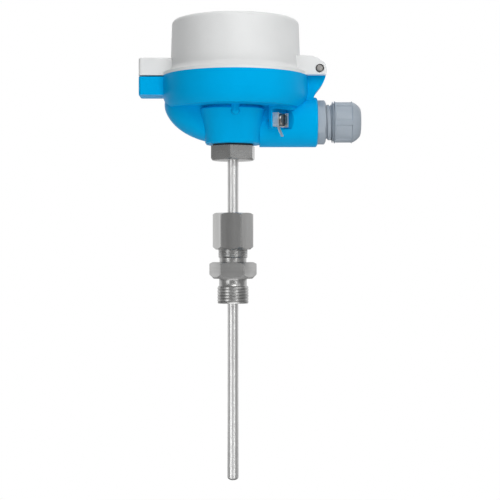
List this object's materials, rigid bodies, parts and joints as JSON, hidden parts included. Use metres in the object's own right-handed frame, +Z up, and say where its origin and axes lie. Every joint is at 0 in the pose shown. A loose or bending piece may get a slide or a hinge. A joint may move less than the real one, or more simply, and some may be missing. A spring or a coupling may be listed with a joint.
{
  "type": "rtd probe with head",
  "caption": "Resistance thermometer with a hinged terminal head, cable gland, hexagon neck, slim steel stem and a sliding compression fitting for the process.",
  "frame": {"origin": "on the stem axis at mid length of the process thread", "axes": "+Z up along the stem towards the head, +X towards the cable gland, -Y is the front with the outer earth terminal"},
  "size_m": [0.1177, 0.0778, 0.2448],
  "materials": {
    "fitting_steel": "turned, satin",
    "ferrule_plastic": "smooth",
    "nut_steel": "turned, satin",
    "blue_paint": "semi-gloss powder coat",
    "neck_steel": "satin",
    "dark_seal": "matt",
    "stem_steel": "drawn, satin",
    "gland_plastic": "moulded, satin",
    "screw_steel": "bright",
    "dark_steel": "blackened",
    "brass_part": "bright",
    "grey_paint": "semi-gloss powder coat",
    "plate_steel": "satin",
    "white_ceramic": "matt",
    "wire_metal": "bright",
    "resin": "smooth",
    "red_sleeve": "smooth",
    "white_sleeve": "smooth"
  },
  "bodies": {
    "process_fitting": {"fitting_body": "fitting_steel", "fitting_ferrule": "ferrule_plastic"},
    "fitting_nut": {"fitting_nut": "nut_steel"},
    "probe": {"head_body": "blue_paint", "neck_adapter": "neck_steel", "neck_gasket": "dark_seal", "stem_tube": "stem_steel", "gland_body": "gland_plastic", "gland_seal": "dark_seal", "ground_screw": "screw_steel", "ground_clamp": "screw_steel", "ground_washer": "screw_steel", "hinge_pin": "screw_steel", "hinge_clips": "dark_steel", "mounting_screws": "screw_steel", "inner_earth_screw": "screw_steel", "inner_earth_washer": "brass_part"},
    "cover": {"head_cover": "grey_paint", "cover_gasket": "dark_seal"},
    "cover_screw": {"cover_screw": "screw_steel"},
    "gland_cap": {"gland_cap": "gland_plastic"},
    "insert": {"insert_plate": "plate_steel", "insert_bush": "plate_steel", "insert_sheath": "stem_steel", "mgo_fill": "white_ceramic", "sensing_element": "white_ceramic", "conductors": "wire_metal", "sheath_seal": "resin", "insert_springs": "screw_steel", "terminal_block": "white_ceramic", "terminal_clamps": "brass_part", "terminal_screws": "screw_steel", "leads_red": "red_sleeve", "leads_white": "white_sleeve"}
  },
  "joints": [
    {"name": "immersion_slide", "type": "slide", "parent": "process_fitting", "child": "probe", "axis": [0, 0, 1], "range_m": [-0.028, 0.085]},
    {"name": "fitting_nut_turn", "type": "hinge", "parent": "process_fitting", "child": "fitting_nut", "pos_m": [0, 0, 0.034], "axis": [0, 0, 1], "continuous": true},
    {"name": "cover_hinge", "type": "hinge", "parent": "probe", "child": "cover", "pos_m": [0.0457, 0, 0.1192], "axis": [0, 1, 0], "range_deg": [0, 105]},
    {"name": "cover_screw_rise", "type": "slide", "parent": "cover", "child": "cover_screw", "axis": [0, 0, 1], "range_m": [0, 0.0055]},
    {"name": "gland_cap_turn", "type": "hinge", "parent": "probe", "child": "gland_cap", "pos_m": [0.0607, 0, 0.09195], "axis": [1, 0, 0], "continuous": true},
    {"name": "insert_float", "type": "slide", "parent": "probe", "child": "insert", "axis": [0, 0, 1], "range_m": [0, 0.004], "stiffness_N_per_m": 4000, "springref_m": -0.002, "deforming": ["insert_springs"]}
  ]
}
